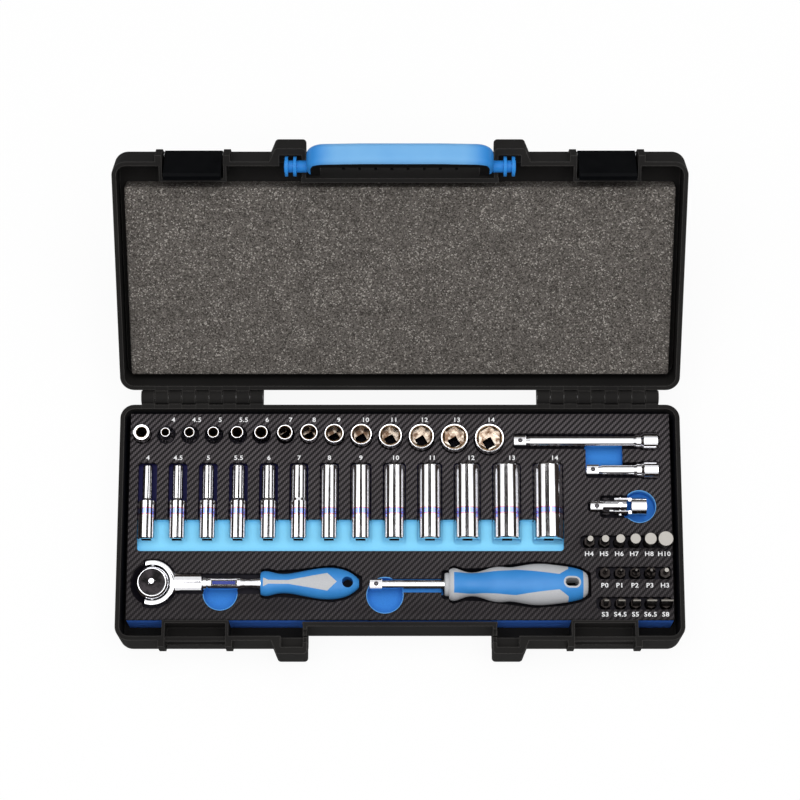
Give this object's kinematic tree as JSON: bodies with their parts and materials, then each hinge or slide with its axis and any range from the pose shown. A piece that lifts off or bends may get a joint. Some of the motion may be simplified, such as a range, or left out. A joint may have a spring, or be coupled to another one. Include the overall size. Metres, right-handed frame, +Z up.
{
  "type": "socket wrench set in case",
  "caption": "Folding plastic case, lid open, with foam trays that hold sockets, bits, extension bars, a flex-head ratchet and a driver handle.",
  "frame": {"origin": "centre of the base's flat underside, midway across its width and depth", "axes": "+X along the case's width to the right, +Y towards the hinge, +Z up out of the base"},
  "size_m": [0.38, 0.3292, 0.1617],
  "materials": {
    "case_plastic": "satin",
    "latch_plastic": "gloss",
    "handle_plastic": "satin",
    "blue_foam": "matte",
    "black_foam": "matte",
    "grey_foam": "matte",
    "grip_blue": "satin",
    "grip_grey": "matte",
    "black_plastic": "satin",
    "bit_steel": "satin",
    "pin_steel": "satin",
    "chrome": "polished"
  },
  "bodies": {
    "base": {"base_shell": "case_plastic", "hinge_pins": "pin_steel", "tray_floor": "blue_foam", "tray_left": "blue_foam", "tray_middle": "blue_foam", "tray_right": "blue_foam", "tray_top": "black_foam"},
    "lid": {"lid_shell": "case_plastic", "lid_foam": "grey_foam", "latch_pins": "pin_steel"},
    "latch_left": {"latch_left": "latch_plastic"},
    "latch_right": {"latch_right": "latch_plastic"},
    "carry_handle": {"carry_handle": "handle_plastic"},
    "ratchet": {"ratchet_shank": "chrome", "ratchet_grip": "grip_blue", "ratchet_grip_inlay": "grip_grey", "ratchet_pivot_pins": "pin_steel"},
    "ratchet_head": {"ratchet_head": "chrome"},
    "ratchet_drive": {"ratchet_drive": "chrome"},
    "ratchet_dial": {"ratchet_dial": "black_plastic"},
    "ratchet_button": {"ratchet_button": "chrome"},
    "driver": {"driver_shaft": "chrome", "driver_collar": "black_plastic", "driver_grip": "grip_blue", "driver_soft_panels": "grip_grey"},
    "universal_joint": {"uj_drive_yoke": "chrome"},
    "joint_cross": {"uj_cross": "chrome"},
    "joint_socket": {"uj_socket_yoke": "chrome"},
    "extension_bar_long": {"extension_bar_long": "chrome"},
    "extension_bar_short": {"extension_bar_short": "chrome"},
    "bit_adapter": {"bit_adapter": "chrome"},
    "hex_bits": {"hex_bits": "bit_steel"},
    "phillips_bits": {"phillips_bits": "bit_steel"},
    "slotted_bits": {"slotted_bits": "bit_steel"},
    "short_socket_4mm": {"short_socket_4mm": "chrome"},
    "deep_socket_4mm": {"deep_socket_4mm": "chrome"},
    "short_socket_4_5mm": {"short_socket_4_5mm": "chrome"},
    "deep_socket_4_5mm": {"deep_socket_4_5mm": "chrome"},
    "short_socket_5mm": {"short_socket_5mm": "chrome"},
    "deep_socket_5mm": {"deep_socket_5mm": "chrome"},
    "short_socket_5_5mm": {"short_socket_5_5mm": "chrome"},
    "deep_socket_5_5mm": {"deep_socket_5_5mm": "chrome"},
    "short_socket_6mm": {"short_socket_6mm": "chrome"},
    "deep_socket_6mm": {"deep_socket_6mm": "chrome"},
    "short_socket_7mm": {"short_socket_7mm": "chrome"},
    "deep_socket_7mm": {"deep_socket_7mm": "chrome"},
    "short_socket_8mm": {"short_socket_8mm": "chrome"},
    "deep_socket_8mm": {"deep_socket_8mm": "chrome"},
    "short_socket_9mm": {"short_socket_9mm": "chrome"},
    "deep_socket_9mm": {"deep_socket_9mm": "chrome"},
    "short_socket_10mm": {"short_socket_10mm": "chrome"},
    "deep_socket_10mm": {"deep_socket_10mm": "chrome"},
    "short_socket_11mm": {"short_socket_11mm": "chrome"},
    "deep_socket_11mm": {"deep_socket_11mm": "chrome"},
    "short_socket_12mm": {"short_socket_12mm": "chrome"},
    "deep_socket_12mm": {"deep_socket_12mm": "chrome"},
    "short_socket_13mm": {"short_socket_13mm": "chrome"},
    "deep_socket_13mm": {"deep_socket_13mm": "chrome"},
    "short_socket_14mm": {"short_socket_14mm": "chrome"},
    "deep_socket_14mm": {"deep_socket_14mm": "chrome"}
  },
  "joints": [
    {"name": "lid_hinge", "type": "hinge", "parent": "base", "child": "lid", "pos_m": [0, 0.0862, 0.03815], "axis": [-1, 0, 0], "range_deg": [-142.7, 0]},
    {"name": "latch_left_pivot", "type": "hinge", "parent": "lid", "child": "latch_left", "pos_m": [-0.1365, 0.23022, 0.12253], "axis": [1, 0, 0], "range_deg": [-98, 0]},
    {"name": "latch_right_pivot", "type": "hinge", "parent": "lid", "child": "latch_right", "pos_m": [0.1365, 0.23022, 0.12253], "axis": [1, 0, 0], "range_deg": [-98, 0]},
    {"name": "handle_pivot", "type": "hinge", "parent": "lid", "child": "carry_handle", "pos_m": [0, 0.21666, 0.13753], "axis": [1, 0, 0], "range_deg": [-139.7, 0]},
    {"name": "head_tilt", "type": "hinge", "parent": "ratchet", "child": "ratchet_head", "pos_m": [-0.1659, -0.0417, 0.033], "axis": [0, 1, 0], "range_deg": [0, 180]},
    {"name": "drive_spin", "type": "hinge", "parent": "ratchet_head", "child": "ratchet_drive", "pos_m": [-0.1659, -0.0417, 0.033], "axis": [0, 0, 1], "continuous": true},
    {"name": "dial_turn", "type": "hinge", "parent": "ratchet_head", "child": "ratchet_dial", "pos_m": [-0.1659, -0.0417, 0.033], "axis": [0, 0, 1], "range_deg": [0, 40]},
    {"name": "button_press", "type": "slide", "parent": "ratchet_head", "child": "ratchet_button", "axis": [0, 0, -1], "range_m": [0, 0.0015], "stiffness_N_per_m": 400, "springref_m": -0.001},
    {"name": "joint_yaw", "type": "hinge", "parent": "universal_joint", "child": "joint_cross", "pos_m": [0.1487, 0.0112, 0.032], "axis": [0, 0, 1], "range_deg": [-3, 3]},
    {"name": "joint_bend", "type": "hinge", "parent": "joint_cross", "child": "joint_socket", "pos_m": [0.1487, 0.0112, 0.032], "axis": [0, -1, 0], "range_deg": [0, 40]},
    {"name": "short_4_lift", "type": "slide", "parent": "base", "child": "short_socket_4mm", "axis": [0, 0, 1], "range_m": [0, 0.045]},
    {"name": "short_4_5_lift", "type": "slide", "parent": "base", "child": "short_socket_4_5mm", "axis": [0, 0, 1], "range_m": [0, 0.045]},
    {"name": "short_5_lift", "type": "slide", "parent": "base", "child": "short_socket_5mm", "axis": [0, 0, 1], "range_m": [0, 0.045]},
    {"name": "short_5_5_lift", "type": "slide", "parent": "base", "child": "short_socket_5_5mm", "axis": [0, 0, 1], "range_m": [0, 0.045]},
    {"name": "short_6_lift", "type": "slide", "parent": "base", "child": "short_socket_6mm", "axis": [0, 0, 1], "range_m": [0, 0.045]},
    {"name": "short_7_lift", "type": "slide", "parent": "base", "child": "short_socket_7mm", "axis": [0, 0, 1], "range_m": [0, 0.045]},
    {"name": "short_8_lift", "type": "slide", "parent": "base", "child": "short_socket_8mm", "axis": [0, 0, 1], "range_m": [0, 0.045]},
    {"name": "short_9_lift", "type": "slide", "parent": "base", "child": "short_socket_9mm", "axis": [0, 0, 1], "range_m": [0, 0.045]},
    {"name": "short_10_lift", "type": "slide", "parent": "base", "child": "short_socket_10mm", "axis": [0, 0, 1], "range_m": [0, 0.045]},
    {"name": "short_11_lift", "type": "slide", "parent": "base", "child": "short_socket_11mm", "axis": [0, 0, 1], "range_m": [0, 0.045]},
    {"name": "short_12_lift", "type": "slide", "parent": "base", "child": "short_socket_12mm", "axis": [0, 0, 1], "range_m": [0, 0.045]},
    {"name": "short_13_lift", "type": "slide", "parent": "base", "child": "short_socket_13mm", "axis": [0, 0, 1], "range_m": [0, 0.045]},
    {"name": "short_14_lift", "type": "slide", "parent": "base", "child": "short_socket_14mm", "axis": [0, 0, 1], "range_m": [0, 0.045]},
    {"name": "deep_4_lift", "type": "slide", "parent": "base", "child": "deep_socket_4mm", "axis": [0, 0, 1], "range_m": [0, 0.045]},
    {"name": "deep_4_5_lift", "type": "slide", "parent": "base", "child": "deep_socket_4_5mm", "axis": [0, 0, 1], "range_m": [0, 0.045]},
    {"name": "deep_5_lift", "type": "slide", "parent": "base", "child": "deep_socket_5mm", "axis": [0, 0, 1], "range_m": [0, 0.045]},
    {"name": "deep_5_5_lift", "type": "slide", "parent": "base", "child": "deep_socket_5_5mm", "axis": [0, 0, 1], "range_m": [0, 0.045]},
    {"name": "deep_6_lift", "type": "slide", "parent": "base", "child": "deep_socket_6mm", "axis": [0, 0, 1], "range_m": [0, 0.045]},
    {"name": "deep_7_lift", "type": "slide", "parent": "base", "child": "deep_socket_7mm", "axis": [0, 0, 1], "range_m": [0, 0.045]},
    {"name": "deep_8_lift", "type": "slide", "parent": "base", "child": "deep_socket_8mm", "axis": [0, 0, 1], "range_m": [0, 0.045]},
    {"name": "deep_9_lift", "type": "slide", "parent": "base", "child": "deep_socket_9mm", "axis": [0, 0, 1], "range_m": [0, 0.045]},
    {"name": "deep_10_lift", "type": "slide", "parent": "base", "child": "deep_socket_10mm", "axis": [0, 0, 1], "range_m": [0, 0.045]},
    {"name": "deep_11_lift", "type": "slide", "parent": "base", "child": "deep_socket_11mm", "axis": [0, 0, 1], "range_m": [0, 0.045]},
    {"name": "deep_12_lift", "type": "slide", "parent": "base", "child": "deep_socket_12mm", "axis": [0, 0, 1], "range_m": [0, 0.045]},
    {"name": "deep_13_lift", "type": "slide", "parent": "base", "child": "deep_socket_13mm", "axis": [0, 0, 1], "range_m": [0, 0.045]},
    {"name": "deep_14_lift", "type": "slide", "parent": "base", "child": "deep_socket_14mm", "axis": [0, 0, 1], "range_m": [0, 0.045]},
    {"name": "adapter_lift", "type": "slide", "parent": "base", "child": "bit_adapter", "axis": [0, 0, 1], "range_m": [0, 0.045]},
    {"name": "hex_bits_lift", "type": "slide", "parent": "base", "child": "hex_bits", "axis": [0, 0, 1], "range_m": [0, 0.045]},
    {"name": "phillips_bits_lift", "type": "slide", "parent": "base", "child": "phillips_bits", "axis": [0, 0, 1], "range_m": [0, 0.045]},
    {"name": "slotted_bits_lift", "type": "slide", "parent": "base", "child": "slotted_bits", "axis": [0, 0, 1], "range_m": [0, 0.045]},
    {"name": "long_bar_lift", "type": "slide", "parent": "base", "child": "extension_bar_long", "axis": [0, 0, 1], "range_m": [0, 0.045]},
    {"name": "short_bar_lift", "type": "slide", "parent": "base", "child": "extension_bar_short", "axis": [0, 0, 1], "range_m": [0, 0.045]},
    {"name": "joint_lift", "type": "slide", "parent": "base", "child": "universal_joint", "axis": [0, 0, 1], "range_m": [0, 0.045]},
    {"name": "ratchet_lift", "type": "slide", "parent": "base", "child": "ratchet", "axis": [0, 0, 1], "range_m": [0, 0.045]},
    {"name": "driver_lift", "type": "slide", "parent": "base", "child": "driver", "axis": [0, 0, 1], "range_m": [0, 0.045]}
  ]
}
